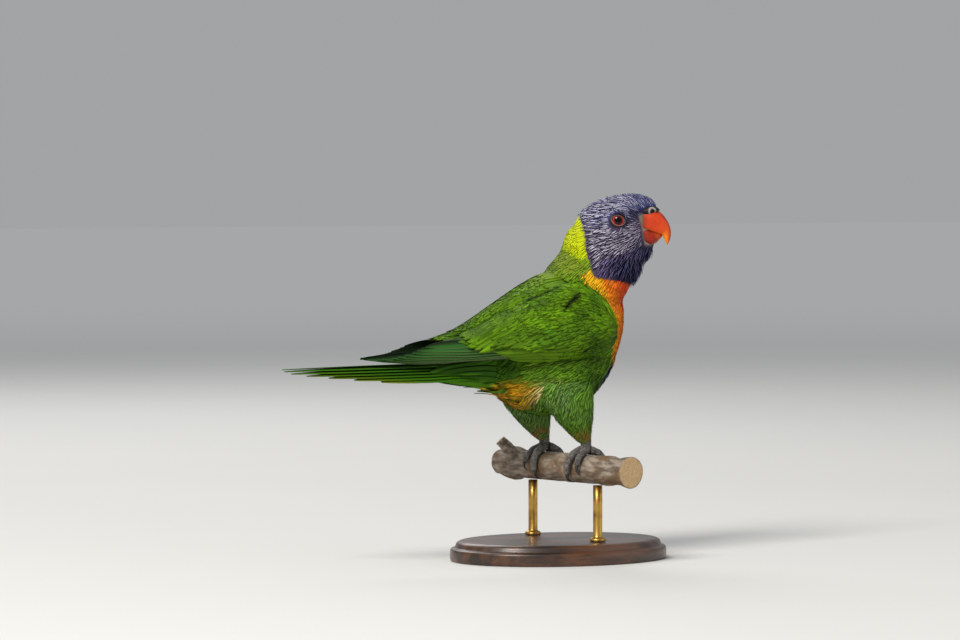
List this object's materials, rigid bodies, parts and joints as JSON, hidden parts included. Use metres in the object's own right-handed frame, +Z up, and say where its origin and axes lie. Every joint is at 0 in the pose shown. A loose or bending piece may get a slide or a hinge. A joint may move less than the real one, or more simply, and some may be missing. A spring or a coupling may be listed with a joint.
{
  "type": "rainbow lorikeet model",
  "caption": "Life-size still model of a rainbow lorikeet with folded wings, looking back over its right side, gripping a cut branch on a small display stand.",
  "frame": {"origin": "under the middle of the stand's base, on the face that rests on the floor", "axes": "+Z up, +X the way the body faces, along the tail, +Y the bird's left"},
  "size_m": [0.228, 0.1131, 0.1997],
  "materials": {
    "hood": "short blue-violet feathers with pale streaks",
    "nape": "soft yellow-green to green feathers",
    "breast": "orange and yellow breast, blue belly, green back",
    "rump": "green and yellow feathers",
    "wing": "glossy green flight feathers and coverts",
    "tail": "long pointed green tail feathers",
    "thigh": "loose green feathers",
    "foot": "dark grey scaly skin and claws",
    "bill": "orange-red horn, satin",
    "cere": "dark bare skin",
    "eye": "wet gloss, red iris and black pupil",
    "bark": "grey-brown bark with cut ends",
    "stand_wood": "dark satin lacquer",
    "stand_metal": "brushed brass"
  },
  "bodies": {
    "root": {"eye_right": "eye", "eye_left": "eye", "head": "hood", "cere": "cere", "bill_upper": "bill", "bill_lower": "bill", "torso": "breast", "rump": "rump", "neck": "nape", "wing_right": "wing", "thigh_right": "thigh", "foot_right": "foot", "wing_left": "wing", "thigh_left": "thigh", "foot_left": "foot", "tail": "tail", "perch": "bark", "stand_rod_right": "stand_metal", "stand_rod_left": "stand_metal", "stand_base": "stand_wood"}
  },
  "joints": []
}
